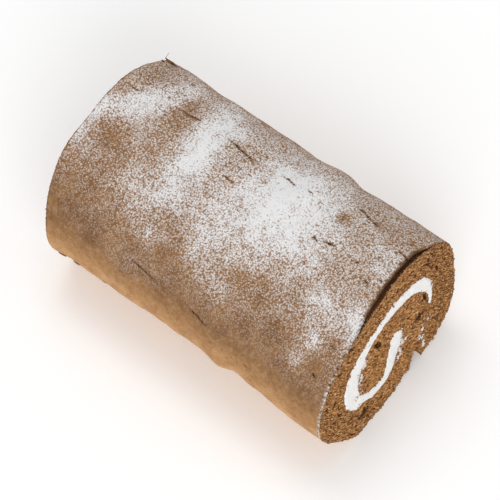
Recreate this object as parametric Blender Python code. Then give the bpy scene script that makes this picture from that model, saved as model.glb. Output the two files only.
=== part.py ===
"""A yule log in its plain form: a sheet of chocolate sponge spread with white cream and rolled up.

The roll lies on its seam. Its own weight has settled it into an oval that is flat underneath, and the knife
has left both ends slightly aslant, so the spiral of cream shows there and runs through the whole cake.
X runs along the roll, Y across it, and Z is up from the surface that it rests on.
"""

import math

import bmesh
import bpy
from mathutils import Matrix, Vector

MM = 0.001

# Driving dimensions, in millimetres.
LENGTH = 149.0
HEART_HEIGHT = 34.5  # height of the middle of the section above the table
CREAM_GAP = 0.3  # room between the cream and the sponge that holds it

# The way each end moves along the roll, for each millimetre (across, up) from the heart.
FAR_SLANT = (0.03, -0.07)
NEAR_SLANT = (-0.061, -0.112)
NEAR_TRIM = 1.1  # how much the near end is cut back from the full length, at the heart
# The far end also falls away towards its low near side: which way that lies, where it starts and how steeply.
CORNER_WAY = (-0.97, -0.24)
CORNER_START = 22.0
CORNER_SLOPE = 0.42
CORNER_SOFTNESS = 5.0

# The outside of the roll as (y, z), anticlockwise from under the near side. It sags below the table line and
# is flattened there.
OUTLINE = (
    (-22.0, -0.8),
    (-5.0, -1.6),
    (11.0, -0.6),
    (25.0, 1.9),
    (35.5, 5.0),
    (44.0, 11.2),
    (47.4, 21.6),
    (48.4, 33.0),
    (48.2, 42.0),
    (45.2, 51.0),
    (37.8, 58.5),
    (27.2, 64.0),
    (14.5, 66.4),
    (1.0, 65.3),
    (-13.0, 61.8),
    (-26.5, 56.4),
    (-37.3, 49.3),
    (-43.9, 40.5),
    (-46.3, 31.0),
    (-44.6, 22.0),
    (-38.8, 13.6),
    (-31.2, 6.2),
)
AROUND = 96
STATIONS = 36
END_RINGS = 3  # rows of faces between the rim of an end and its middle

# Away from the near end the roll is slimmer: by this much all round, and by this much more on its low near
# side, which faces turn 206. It has reached its full width this far from its middle.
WAIST = 0.85
SIDE_WAIST = 1.8
SIDE_WAIST_TURN = 206.0
SIDE_WAIST_REACH = 55.0
WAIST_ENDS_AT = 66.0
WAIST_STARTS_AT = 24.0

# Swells and dents of the skin: (x, turn round the section in degrees from +Y, reach along, reach round in
# degrees, height). Dents have a negative height.
SWELLS = (
    (20.0, 26.0, 6.0, 50.0, 1.7),
    (29.0, 26.0, 5.0, 40.0, -0.5),
    (17.0, 206.0, 4.5, 40.0, 2.1),
    (25.0, 206.0, 3.5, 30.0, -1.3),
    (33.0, 206.0, 5.0, 25.0, 0.7),
    (-71.0, 206.0, 5.0, 30.0, 1.0),
    (-55.0, 206.0, 5.0, 25.0, 0.4),
    (-33.0, 206.0, 6.0, 30.0, 0.5),
    (-20.0, 206.0, 6.0, 30.0, -0.5),
    (-46.0, 30.0, 6.0, 30.0, -0.5),
    (6.0, 40.0, 6.0, 30.0, -0.6),
    (1.0, 70.0, 8.0, 26.0, -1.0),
    (-33.0, 75.0, 10.0, 30.0, -1.0),
    (-52.0, 110.0, 12.0, 28.0, 0.9),
    (-18.0, 100.0, 9.0, 26.0, 0.8),
    (34.0, 118.0, 11.0, 24.0, -1.0),
    (44.0, 80.0, 9.0, 22.0, 0.7),
    (-24.0, 160.0, 13.0, 24.0, -0.7),
    (-80.0, 70.0, 13.0, 24.0, 2.1),
    (-79.0, 30.0, 8.0, 13.0, -1.6),
    (-75.0, 153.0, 8.0, 13.0, -1.9),
    (-75.0, 120.0, 7.0, 12.0, 0.5),
    (-64.5, 104.0, 6.0, 11.0, -0.9),
    (-48.0, 54.0, 6.0, 10.0, -0.5),
    (75.0, 287.0, 10.0, 12.0, -3.6),
    (74.0, 215.0, 10.0, 18.0, -0.6),
)

# The cream's way in from the seam to the heart of the roll: (y, height above the heart, thickness).
CREAM_BAND = (
    (24.2, -21.0, 0.7),
    (28.0, -14.5, 0.7),
    (30.6, -6.5, 1.1),
    (31.0, -0.5, 2.6),
    (29.6, 5.4, 5.0),
    (26.0, 10.4, 6.2),
    (19.0, 14.2, 5.6),
    (8.0, 16.0, 5.4),
    (-3.0, 15.1, 4.8),
    (-12.4, 12.2, 5.2),
    (-19.4, 7.2, 8.0),
    (-23.8, 0.0, 9.2),
    (-24.4, -8.0, 8.6),
    (-20.4, -14.4, 6.6),
    (-12.0, -18.6, 4.6),
    (-3.8, -19.0, 4.8),
    (1.0, -15.4, 6.2),
    (4.0, -9.6, 7.6),
    (6.4, -3.4, 7.4),
)
# The open seam under the roll, which leads out from the start of the cream.
SEAM_MOUTH = (
    (17.2, -46.0, 10.4),
    (17.2, -36.0, 8.8),
    (17.4, -29.6, 6.2),
    (18.6, -25.4, 2.6),
    (21.6, -23.0, 0.9),
)
BAND_STEPS = 4
TIP_STEPS = 6
SHARP_ANGLE = 35.0  # degrees; a sharper edge stays crisp, and the rest is shaded round


def clear_scene():
    for obj in list(bpy.data.objects):
        bpy.data.objects.remove(obj, do_unlink=True)


def collection(name):
    made = bpy.data.collections.new(name)
    bpy.context.scene.collection.children.link(made)
    return made


def material(name, colour, roughness):
    made = bpy.data.materials.new(name)
    made.use_nodes = True
    shader = made.node_tree.nodes["Principled BSDF"]
    shader.inputs["Base Color"].default_value = (*colour, 1.0)
    shader.inputs["Roughness"].default_value = roughness
    shader.inputs["Metallic"].default_value = 0.0
    return made


def through(before, start, end, after, share):
    """A point on the smooth curve from start to end, given the points on either side of them."""
    return 0.5 * (
        2 * start
        + (end - before) * share
        + (2 * before - 5 * start + 4 * end - after) * share**2
        + (3 * start - before - 3 * end + after) * share**3
    )


def smooth_path(points, steps, closed=False):
    """The points, with a smooth curve through them and this many steps to each."""
    points = [Vector(p) for p in points]
    count = len(points)
    path = []
    for i in range(count if closed else count - 1):
        around = [i - 1, i, i + 1, i + 2]
        around = [j % count if closed else min(max(j, 0), count - 1) for j in around]
        path += [through(*(points[j] for j in around), step / steps) for step in range(steps)]
    return path if closed else path + [points[-1]]


def even_loop(path, count):
    """The closed path again, with this many points spread evenly along it."""
    lengths = [(path[(i + 1) % len(path)] - p).length for i, p in enumerate(path)]
    spacing = sum(lengths) / count
    loop, walked, i = [], 0.0, 0
    for step in range(count):
        target = step * spacing
        while walked + lengths[i] < target:
            walked += lengths[i]
            i += 1
        start, end = path[i], path[(i + 1) % len(path)]
        loop.append(start.lerp(end, (target - walked) / lengths[i]))
    return loop


def bell(offset, reach):
    """1 in the middle, falling smoothly to nothing about two reaches away."""
    return math.exp(-((offset / reach) ** 2))


def eased(value):
    """0 below 0, 1 above 1, and a smooth rise between them."""
    value = min(max(value, 0.0), 1.0)
    return value * value * (3.0 - 2.0 * value)


def turn_between(one, other):
    return (one - other + 180.0) % 360.0 - 180.0


def swell_at(x, turn):
    """How far the skin stands out from the outline at x, facing this way."""
    slimmer = eased((WAIST_ENDS_AT - x) / (WAIST_ENDS_AT - WAIST_STARTS_AT))
    side = bell(turn_between(turn, SIDE_WAIST_TURN), SIDE_WAIST_REACH)
    height = -slimmer * (WAIST + SIDE_WAIST * side)
    for at_x, at_turn, reach, reach_turn, peak in SWELLS:
        height += peak * bell(x - at_x, reach) * bell(turn_between(turn, at_turn), reach_turn)
    return height


def skin_point(x, flat):
    """Where a point (y, z) of the outline lies at x, swells and flat underside included."""
    from_heart = flat - Vector((0.0, HEART_HEIGHT))
    turn = math.degrees(math.atan2(from_heart.y, from_heart.x))
    y, z = flat + from_heart.normalized() * swell_at(x, turn)
    return Vector((x, y, max(z, 0.0)))


def slanted(point):
    """The point moved along the roll, so that a square end becomes the end that the knife left."""
    from_heart = Vector((point.y, point.z - HEART_HEIGHT))
    past_start = from_heart.dot(Vector(CORNER_WAY)) - CORNER_START
    corner = CORNER_SLOPE * (past_start + math.hypot(past_start, CORNER_SOFTNESS)) / 2
    far = from_heart.dot(Vector(FAR_SLANT)) + corner
    near = from_heart.dot(Vector(NEAR_SLANT)) - NEAR_TRIM
    share = (point.x + LENGTH / 2) / LENGTH
    return Vector((point.x + far * (1.0 - share) + near * share, point.y, point.z))


def add_object(name, mesh, group, finish):
    mesh.shade_smooth()
    mesh.set_sharp_from_angle(angle=math.radians(SHARP_ANGLE))
    obj = bpy.data.objects.new(name, mesh)
    group.objects.link(obj)
    if finish:
        mesh.materials.append(finish)
    return obj


def log_mesh():
    """The whole roll: a flat grid wrapped round the section, and drawn in over each end to its middle."""
    loop = even_loop(smooth_path(OUTLINE, 8, closed=True), AROUND)
    heart = Vector((0.0, HEART_HEIGHT))
    rows = STATIONS + 2 * END_RINGS
    bm = bmesh.new()
    bmesh.ops.create_grid(bm, x_segments=rows, y_segments=AROUND, size=0.5)
    for vert in bm.verts:
        row = round((vert.co.x + 0.5) * rows)
        along = min(max((row - END_RINGS) / STATIONS, 0.0), 1.0)
        width = min(row, rows - row, END_RINGS) / END_RINGS
        turn = round((vert.co.y + 0.5) * AROUND) % AROUND
        x, y, z = skin_point((along - 0.5) * LENGTH, loop[turn])
        y, z = heart.lerp(Vector((y, z)), width)
        vert.co = slanted(Vector((x, y, z))) * MM
    bmesh.ops.remove_doubles(bm, verts=bm.verts, dist=0.01 * MM)
    bmesh.ops.recalc_face_normals(bm, faces=bm.faces)
    mesh = bpy.data.meshes.new("log")
    bm.to_mesh(mesh)
    bm.free()
    return mesh


def half_round(centre, radius, start, steps):
    """Points round half a circle, clockwise from the angle start, without its two ends."""
    angles = [start - math.pi * step / steps for step in range(1, steps)]
    return [centre + Vector((math.cos(a), math.sin(a))) * radius for a in angles]


def band_outline(points, grown):
    """The outline of a band that follows (y, height, thickness) points and has round ends."""
    path = smooth_path(points, BAND_STEPS)
    left, right = [], []
    for i, (y, up, thickness) in enumerate(path):
        ahead = path[min(i + 1, len(path) - 1)] - path[max(i - 1, 0)]
        side = Vector((-ahead.y, ahead.x)).normalized() * (thickness / 2 + grown)
        middle = Vector((y, up + HEART_HEIGHT))
        left.append(middle + side)
        right.append(middle - side)
    outline = list(left)
    for a, b in ((left[-1], right[-1]), (right[0], left[0])):
        across = a - b
        start = math.atan2(across.y, across.x)
        outline += half_round((a + b) / 2, across.length / 2, start, TIP_STEPS)
        if a is left[-1]:
            outline += reversed(right)
    return outline


def prism(name, outline, length, group):
    """A mesh object: the flat (y, z) outline drawn out along X, centred on the middle of the roll."""
    curve = bpy.data.curves.new(name, "CURVE")
    curve.dimensions = "2D"
    curve.fill_mode = "BOTH"
    curve.extrude = length / 2 * MM
    spline = curve.splines.new("POLY")
    spline.points.add(len(outline) - 1)
    for point, (y, z) in zip(spline.points, outline):
        point.co = (y * MM, z * MM, 0.0, 1.0)
    spline.use_cyclic_u = True
    flat = bpy.data.objects.new(name + "_flat", curve)
    group.objects.link(flat)
    bpy.context.view_layer.update()
    mesh = bpy.data.meshes.new_from_object(flat.evaluated_get(bpy.context.evaluated_depsgraph_get()))
    bpy.data.objects.remove(flat, do_unlink=True)
    drawn_along_x = Matrix(((0, 0, 1, 0), (1, 0, 0, 0), (0, 1, 0, 0), (0, 0, 0, 1)))
    mesh.transform(drawn_along_x)
    bm = bmesh.new()
    bm.from_mesh(mesh)
    bmesh.ops.remove_doubles(bm, verts=bm.verts, dist=0.005 * MM)
    bmesh.ops.recalc_face_normals(bm, faces=bm.faces)
    bm.to_mesh(mesh)
    bm.free()
    return add_object(name, mesh, group, None)


def make_cream(group):
    """The filling, from its thin smear near the seam to its blunt end at the heart."""
    cream = prism("cream", band_outline(CREAM_BAND, 0.0), LENGTH, group)
    for vert in cream.data.vertices:
        vert.co = slanted(vert.co / MM) * MM
    cream.data.materials.append(material("cream", (0.83, 0.81, 0.78), 0.55))
    return cream


def make_sponge(group, cutters):
    """The rolled sheet: the log with the cream's way and the open seam cut out of it."""
    brown = material("sponge", (0.30, 0.155, 0.07), 0.85)
    sponge = add_object("sponge", log_mesh(), group, brown)
    way = band_outline((*SEAM_MOUTH, *CREAM_BAND), CREAM_GAP)
    cutter = prism("cream_way", way, LENGTH * 1.3, cutters)
    cutter.hide_render = True
    cutter.display_type = "WIRE"
    cut = sponge.modifiers.new("cream_way", "BOOLEAN")
    cut.operation = "DIFFERENCE"
    cut.object = cutter
    return sponge


def centre_over_origin(sponge):
    """Moves every mesh along and across, so that the origin lies under the middle of the cake's own box."""
    corners = [[vert.co[axis] for vert in sponge.data.vertices] for axis in (0, 1)]
    middle = Vector([(min(values) + max(values)) / 2 for values in corners] + [0.0])
    for obj in bpy.data.objects:
        obj.data.transform(Matrix.Translation(-middle))


def main():
    clear_scene()
    cake = collection("yule_log_cake")
    cutters = collection("cutters")
    sponge = make_sponge(cake, cutters)
    make_cream(cake)
    centre_over_origin(sponge)


main()
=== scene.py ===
import math

import bmesh
import bpy
import numpy as np
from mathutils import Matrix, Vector, noise
from mathutils.bvhtree import BVHTree
from mathutils.geometry import delaunay_2d_cdt
from mathutils.kdtree import KDTree


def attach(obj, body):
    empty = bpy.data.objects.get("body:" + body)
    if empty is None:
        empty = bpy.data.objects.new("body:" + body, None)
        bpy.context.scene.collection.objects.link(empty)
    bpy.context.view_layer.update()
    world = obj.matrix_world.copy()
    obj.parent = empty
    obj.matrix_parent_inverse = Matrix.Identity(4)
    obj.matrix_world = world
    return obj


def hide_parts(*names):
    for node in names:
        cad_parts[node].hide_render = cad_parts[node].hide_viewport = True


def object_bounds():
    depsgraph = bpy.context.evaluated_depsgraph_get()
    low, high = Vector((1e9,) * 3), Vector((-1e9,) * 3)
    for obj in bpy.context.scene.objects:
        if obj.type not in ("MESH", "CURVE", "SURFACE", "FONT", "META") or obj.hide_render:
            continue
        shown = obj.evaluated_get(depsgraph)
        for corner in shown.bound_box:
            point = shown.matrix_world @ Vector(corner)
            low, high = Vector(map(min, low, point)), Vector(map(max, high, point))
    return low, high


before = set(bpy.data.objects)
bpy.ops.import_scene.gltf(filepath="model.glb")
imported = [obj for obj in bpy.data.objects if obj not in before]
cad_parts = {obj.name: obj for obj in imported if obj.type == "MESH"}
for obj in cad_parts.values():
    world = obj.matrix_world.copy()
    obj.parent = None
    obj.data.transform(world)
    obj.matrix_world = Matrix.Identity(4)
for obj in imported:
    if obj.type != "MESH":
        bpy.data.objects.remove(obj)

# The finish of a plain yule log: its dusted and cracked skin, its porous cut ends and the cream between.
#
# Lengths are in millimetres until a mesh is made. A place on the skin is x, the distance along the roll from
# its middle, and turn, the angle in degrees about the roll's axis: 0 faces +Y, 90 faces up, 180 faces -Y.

MM = 0.001
AXIS_HEIGHT = 33.28  # of the roll, above what it stands on
cad_low, cad_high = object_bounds()


# ---------------------------------------------------------------------------------------------------------
# Sizes of the skin, which is the thin crust round the rolled sheet

SKIN_DEPTH = 0.8
MEAN_RADIUS = 43.0  # of the skin, to give a width in degrees
SEAM = (-71.0, -57.2)  # turns of the two lips of the open seam underneath
FINE_TURNS = (12.0, 216.0)  # the part of the skin that is seen from above
FINE_COLUMN = 0.56  # between columns of points there, and underneath
COARSE_COLUMN = 1.5
COLUMNS_WIDEN = 12.0  # degrees over which one spacing goes into the other
SKIN_ROWS = 232
LINING_ROWS = 60
LINING_COLUMNS = 90

# Stretches of the skin: the turns where each starts and ends, and the degrees of its fade at each.
LEDGE_TURNS = (36.0, 131.0, 14.0, 34.0)
FOLDED_TURNS = (160.0, 250.0, 25.0, 25.0)
DUSTED_TURNS = (-8.0, 180.0, 54.0, 66.0)
FRINGE_TURNS = (140.0, 214.0, 20.0, 20.0)
TORN_TURNS = (105.0, 180.0, 12.0, 15.0)

# Lumps all over the crust, (size, height), and long folds low on its sides, so many degrees round.
LUMPS = ((15.0, 0.34), (6.5, 0.2), (2.6, 0.09), (1.2, 0.05))
FOLD_LONG, FOLD_ROUND = 22.0, 5.5
FOLD_HEIGHT = 0.3

# The crust stops short of each cut by an uneven gap: (size, reach) of its coarse waves and its fine ones.
RIM_GAP = 0.45
RIM_RAGGED = ((2.2, 0.4), (0.9, 0.35))
SMALLEST_GAP = 0.05

# At the ledge the crust has drawn back from the near cut and its lip has sunk; the crumb there lies deeper.
LEDGE_WIDTH = 2.0
LEDGE_DROP = 0.9
LEDGE_UNEVEN = (6.0, 0.1)  # waves in it, so many degrees long, and their share
LIP_DROP, LIP_WIDTH = 0.7, 2.4
LIP_BARE, LIP_BARE_FADE = 0.16, 1.6  # from the lip's edge to where sugar begins, and to where it is whole
# Beside the near cut, the sunk lip and the torn places get the cracks' painted shade, partly for shadow
# under the lip and partly for darker torn crust
DARK_RIM, DARK_RIM_WIDTH = 0.34, 1.8  # as dark as a crack that gapes this much
TORN_PATCHES = (1.2, 2.5)  # size and steepness of the torn places on the rim

# Slivers of crust torn loose at the far end and along the low side: (x, turn and lift of the start, the same
# of the end, half the width).
SLIVER_RINGS, SLIVER_SIDES = 15, 8
SLIVER_FLATNESS = 0.6
SLIVER_RAGGED = 0.8
SLIVER_POINT = 0.02  # half the width left at each end
SLIVERS = (
    (-76.4, 25.0, 0.3, -68.6, 28.4, 0.1, 0.75),
    (-77.0, 22.5, 2.6, -75.8, 25.5, 0.2, 0.20),
    (-75.6, 30.0, 0.2, -73.4, 31.5, 0.1, 0.40),
    (-63.4, 196.0, 0.3, -58.8, 194.5, 0.15, 0.45),
    (-66.4, 198.0, 0.3, -65.0, 196.5, 0.1, 0.28),
    (-55.6, 194.5, 0.2, -51.8, 194.5, 0.2, 0.36),
    (-41.0, 194.0, 0.1, -37.6, 193.5, 0.1, 0.33),
)

# Cracks: (x and turn of the start, x and turn of the end, half the width, depth). Each wanders to its sides
# by waves of (size along, degrees), narrows to its ends, and gapes by waves too.
CRACK_WANDER = ((4.0, 0.8), (1.0, 0.6))
CRACK_GAPE = (0.75, 1.4, 0.8)  # the mean share of its width, and the size and reach of the waves in it
CRACK_TAPER = 5.0  # a fifth of its length at each end
NARROWEST = 0.3  # the least share of its width
CRACKS = (
    (-72.5, 66.5, -67.5, 64.8, 0.25, 0.6),
    (-53.0, 57.6, -38.5, 56.6, 0.32, 0.9),
    (-27.0, 56.4, -10.5, 59.8, 0.46, 1.3),
    (-16.0, 80.0, -10.4, 81.3, 0.30, 0.8),
    (1.0, 55.4, 10.0, 58.6, 0.27, 0.7),
    (14.6, 57.4, 17.2, 57.0, 0.25, 0.6),
    (32.5, 44.8, 48.8, 50.2, 0.37, 1.0),
    (29.5, 81.2, 32.8, 82.6, 0.34, 0.9),
    (33.6, 80.0, 40.4, 78.6, 0.48, 1.3),
    (59.6, 57.0, 66.4, 57.8, 0.34, 0.9),
    (57.4, 87.2, 60.8, 87.9, 0.32, 0.9),
    (61.6, 80.3, 64.0, 80.8, 0.25, 0.6),
    (48.4, 80.0, 51.6, 78.6, 0.27, 0.6),
    (63.6, 137.2, 66.8, 137.9, 0.27, 0.7),
    (-28.2, 162.2, -15.0, 164.8, 0.25, 0.5),
    (4.2, 166.0, 13.8, 168.8, 0.30, 0.6),
    (34.0, 175.4, 38.2, 175.9, 0.23, 0.4),
    (62.6, 155.8, 65.2, 156.5, 0.27, 0.6),
    (-44.0, 12.0, -30.0, 14.0, 0.32, 0.8),
    (18.0, 6.0, 27.0, 4.0, 0.32, 0.8),
    (50.0, -14.0, 58.0, -13.0, 0.27, 0.6),
)

# Soft folds of the crust low on the near side: (x, turn, reach along, reach round, height).
CREASES = (
    (10.5, 181.0, 4.5, 1.1, -0.35),
    (55.0, 182.0, 11.0, 1.2, -0.4),
    (-50.0, 184.0, 12.0, 1.4, -0.3),
    (-8.0, 190.0, 10.0, 1.5, -0.35),
    (30.0, 196.0, 12.0, 1.6, -0.35),
    (64.0, 194.0, 9.0, 1.4, -0.35),
)

# Dents and small swells that hold less or more sugar: (x, turn, reach along, reach round, height).
DENTS = (
    (-64.5, 104.0, 4.0, 8.0, -0.3),
    (-48.0, 52.0, 5.0, 8.0, -0.35),
    (-16.0, 146.0, 5.0, 6.0, -0.4),
    (24.0, 132.0, 7.0, 9.0, -0.5),
    (34.0, 60.0, 4.0, 4.0, -0.5),
    (63.5, 152.0, 5.0, 6.0, -0.45),
    (20.0, 186.0, 5.0, 6.0, -0.5),
    (-33.0, 75.0, 5.0, 24.0, 0.35),
    (6.0, 80.0, 6.0, 24.0, 0.35),
)

# Sugar as it fell from the sieve, over an even dusting. Each pass of the sieve is (x, turn, reach along,
# reach round, lean, amount), where lean is how far along it drifts for each degree of turn. Drifts of
# (size, share) break it up, and a fringe of it has caught on the near rim.
EVEN_DUSTING = 0.42
FULL_COVER = 1.3
SUGAR_DRIFTS = ((9.0, 0.22), (3.5, 0.3))
FRINGE, FRINGE_WIDTH = 0.45, 0.9
SUGAR_PASSES = (
    (-62.0, 67.0, 7.0, 21.0, -0.33, 0.50),
    (-31.5, 75.0, 8.5, 36.0, 0.05, 0.40),
    (-30.5, 76.0, 4.0, 30.0, 0.12, 0.25),
    (-25.0, 48.0, 6.0, 12.0, 0.0, 0.15),
    (-29.0, 118.0, 10.0, 16.0, 0.0, 0.10),
    (-6.0, 84.0, 6.0, 17.0, 0.0, 0.28),
    (-6.0, 119.0, 11.0, 21.0, 0.0, 0.13),
    (8.0, 76.0, 9.5, 33.0, 0.05, 0.58),
    (23.0, 73.0, 9.0, 30.0, 0.0, 0.38),
    (35.0, 95.0, 7.0, 11.0, 0.0, 0.18),
    (-45.0, 124.0, 5.0, 8.0, 0.0, 0.16),
    (-49.0, 36.0, 7.0, 8.0, 0.0, 0.14),
    (-5.0, 138.0, 5.0, 7.0, 0.0, 0.14),
    (10.0, 149.0, 9.0, 8.0, 0.0, 0.22),
    (-24.0, 145.0, 5.0, 6.0, 0.0, 0.20),
    (55.0, 148.0, 4.5, 11.0, 0.0, 0.12),
    (54.0, 155.0, 3.5, 4.5, 0.0, 0.22),
    (56.5, 140.0, 4.5, 5.0, 0.0, 0.22),
    (48.0, 117.0, 9.0, 6.0, 0.0, 0.16),
    (57.0, 119.0, 8.0, 14.0, 0.0, 0.10),
    (67.0, 115.0, 4.0, 9.0, 0.0, 0.28),
    (-77.0, 112.0, 4.0, 14.0, 0.0, 0.18),
    (5.4, 56.0, 6.0, 6.0, 0.0, 0.25),
    (64.0, 62.0, 10.0, 14.0, 0.0, 0.12),
    (36.0, 73.0, 6.0, 5.0, 0.0, 0.16),
    (70.0, 120.0, 3.0, 9.0, 0.0, 0.40),
    (18.0, 60.0, 10.0, 7.0, 0.0, 0.10),
    (62.0, 76.0, 8.0, 6.0, 0.0, 0.10),
    (-29.0, 52.0, 6.0, 5.0, 0.0, 0.10),
    (12.0, 80.0, 5.0, 12.0, 0.0, 0.14),
    (-76.0, 92.0, 3.0, 12.0, 0.0, 0.35),
    (10.0, 53.0, 28.0, 7.0, 0.0, 0.15),
    (-28.0, 165.0, 10.0, 8.0, 0.0, 0.10),
    (-36.0, 146.0, 6.0, 7.0, 0.0, 0.12),
    (33.0, 149.0, 3.0, 4.0, 0.0, 0.18),
)
# Places that the sugar missed or was rubbed off: (x, turn, reach along, reach round, share taken off).
BARE_PLACES = (
    (-64.5, 104.0, 7.5, 12.0, 0.90),
    (-47.5, 58.0, 5.0, 20.0, 0.66),
    (-46.0, 88.0, 6.0, 18.0, 0.40),
    (-54.0, 118.0, 9.0, 24.0, 0.35),
    (-66.0, 142.0, 13.0, 22.0, 0.50),
    (-75.0, 71.0, 2.0, 7.0, 0.50),
    (46.0, 138.0, 24.0, 15.0, 0.12),
    (-51.0, 140.0, 4.0, 4.0, 0.40),
    (-40.0, 149.0, 4.0, 4.0, 0.45),
    (-74.0, 162.0, 8.0, 14.0, 0.70),
    (-69.0, 48.0, 9.0, 14.0, 0.45),
    (-15.0, 58.0, 6.0, 14.0, 0.25),
    (33.6, 57.8, 3.6, 4.8, 0.90),
    (49.0, 46.0, 8.0, 8.0, 0.35),
    (65.0, 46.0, 8.0, 13.0, 0.42),
    (-16.0, 147.0, 5.0, 6.5, 0.75),
    (16.5, 136.0, 6.0, 8.0, 0.80),
    (25.0, 131.0, 5.0, 5.0, 0.65),
    (42.0, 112.0, 6.0, 5.0, 0.25),
    (61.0, 98.0, 3.5, 8.0, 0.30),
    (27.5, 141.0, 3.5, 4.5, 0.60),
    (40.0, 127.0, 4.5, 4.0, 0.40),
    (63.0, 136.0, 5.0, 6.0, 0.60),
    (25.0, 115.0, 4.0, 6.0, 0.35),
    (41.0, 148.0, 8.0, 7.0, 0.55),
    (63.5, 152.0, 5.5, 6.5, 0.80),
    (5.0, 106.0, 1.0, 4.0, 0.35),
    (49.0, 93.0, 12.0, 8.0, 0.16),
    (55.0, 76.0, 4.0, 8.0, 0.35),
    (-23.0, 105.0, 6.0, 8.0, 0.18),
    (-22.0, 132.0, 7.0, 8.0, 0.50),
)


# ---------------------------------------------------------------------------------------------------------
# Sizes of the cut ends

GRAIN_NEAR = 0.38  # spacing of the points on the crumb's near cut end, and on the far one
GRAIN_FAR = 0.46
CREAM_GRAIN_NEAR = 0.4
CREAM_GRAIN_FAR = 0.5
CREAM_STEP = 0.42  # spacing of the points round the cream's outline
CREAM_SWELL = 0.32  # how far the cream fills out its bed between the cuts
CREAM_SPREAD = 0.15  # how far it spreads over the sponge on them
WALL_UNDER_SKIN = 0.55  # beside the cuts
WALL_CLEARANCE = 1.4  # below the lowest skin, between them
WALL_NEAR_STEPS = (0.5, 1.0, 1.6, 2.4, 3.6, 6.0)  # from the near cut to the first rings of a wall
WALL_FAR_STEPS = (5.0, 2.6, 1.2, 0.5)
WALL_MIDDLE_RINGS = 9
WALL_MIDDLE_FROM = 8.0
HUG_FROM, HUG_FADE = 12.0, 6.0  # how far in from a cut the wall starts to rise to the skin, and over how far
LEDGE_SHOWS = 5.0  # how deep the crumb below the ledge is dark

# Pores in the crumb, (size, threshold, steepness), drawn out along the layers of the rolled sheet, and the
# unevenness under them, (size, depth).
PORES = ((2.6, 0.30, 2.6), (1.5, 0.27, 1.9), (0.95, 0.22, 1.3))
PORES_ACROSS, PORES_ALONG = 1.35, 24.0
UNEVEN = ((0.7, 0.10), (4.5, 0.16), (14.0, 0.25))
CRUMB_DEPTHS = (-0.15, 2.0)  # the least and the most that the pores and unevenness make
CRUMB_BELOW = 0.12
FIRM_WIDTH, FIRM_SHARE = 1.2, 0.35  # the crumb's firmer edge, and the share of the pores' depth left there

# The cream's dips, (size, depth), the places where it came away with the knife, and its rounded edge.
CREAM_DIPS = ((5.0, 0.22), (1.9, 0.14), (0.9, 0.06))
CAME_AWAY = (2.3, 0.42, 0.7)  # size, threshold, steepness
CREAM_EDGE = (0.35, 0.3)  # width, depth
CREAM_PROUD = 0.12

# Loose bits on each cut: (everywhere, more beside the edge, how wide that is).
CRUMB_LOOSE_FAR, CRUMB_LOOSE_NEAR = (0.04, 0.3, 1.0), (0.12, 1.0, 1.2)
CREAM_LOOSE_FAR, CREAM_LOOSE_NEAR = (0.0, 0.1, 0.6), (0.02, 0.7, 0.6)

# How the edges on the cuts stray: (size, reach) of the coarse waves and of the fine ones.
CRUST_SIDE_RAGGED = ((1.9, 0.3), (0.8, 0.34))
BED_SIDE_RAGGED = ((1.9, 0.3), (0.8, 0.3))
CREAM_RAGGED = ((2.4, 0.4), (1.1, 0.45))

# Where the knife has narrowed the cream on the cuts, or widened it if negative: (across from the axis, up
# from it, reach across, reach up, how far).
SQUEEZED = (
    (-3.0, 16.0, 18.0, 9.0, 0.3),
    (9.0, -3.5, 3.5, 5.5, -0.9),
    (5.5, -13.5, 3.0, 4.0, 0.5),
    (-20.5, -19.0, 4.5, 3.0, 1.7),
    (3.5, 1.5, 2.5, 2.0, -0.4),
)
STREAK_LEAN = -35.0  # of the crumb's grain over the near cut, in degrees

# The cream thins out beside the seam: how far across and up from the axis that starts, and how deep it lies.
THIN_BEYOND = 20.0
THIN_BELOW = -5.6
THIN_SUNK = 2.2

# Larger holes in the near cut: (across from the axis, up from it, half length, half width, lean, depth). The
# floor of each is flat, and its ragged wall ends at PIT_RIM times its size.
PIT_RIM, PIT_WALL = 1.4, 0.6
PIT_RAGGED = (1.3, 0.45)
PITS = (
    (-5.4, 6.2, 2.9, 1.2, -65.0, 2.8),
    (21.6, -6.9, 3.2, 1.2, -14.0, 2.6),
    (26.4, 1.6, 5.0, 0.6, -76.0, 1.5),
    (6.4, 13.4, 1.7, 0.7, 15.0, 1.8),
    (9.9, 24.9, 1.2, 0.8, 60.0, 2.0),
    (-21.5, 23.5, 1.9, 0.8, -20.0, 1.8),
    (-32.5, 23.4, 1.2, 0.7, -30.0, 1.5),
    (-31.2, 17.0, 1.5, 0.7, -35.0, 1.6),
    (-19.2, -24.0, 2.5, 1.5, 5.0, 3.0),
    (-14.2, -23.4, 1.1, 0.7, 40.0, 1.8),
    (-1.8, -23.1, 1.2, 0.7, 10.0, 1.6),
    (33.0, -19.4, 1.5, 0.8, 20.0, 1.6),
    (-8.6, -3.8, 1.0, 0.5, -50.0, 1.3),
    (10.8, 6.4, 1.0, 0.6, 0.0, 1.3),
    (36.0, 9.0, 1.3, 0.7, 110.0, 1.5),
    (-36.0, 3.0, 1.2, 0.7, 90.0, 1.5),
)

# Sponge dragged over the cream on the near cut: (across from the axis, up from it, reach across, reach up).
DRAGGED = (
    (-23.0, -8.6, 2.4, 2.6),
    (-21.6, -14.6, 3.2, 1.4),
    (-20.6, 3.4, 1.8, 3.4),
    (-27.6, 5.6, 1.0, 3.0),
    (-12.0, 14.6, 3.6, 0.8),
    (3.2, -14.4, 1.6, 2.2),
    (8.2, -4.4, 0.9, 2.6),
    (29.6, 8.4, 0.8, 4.0),
)

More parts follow.
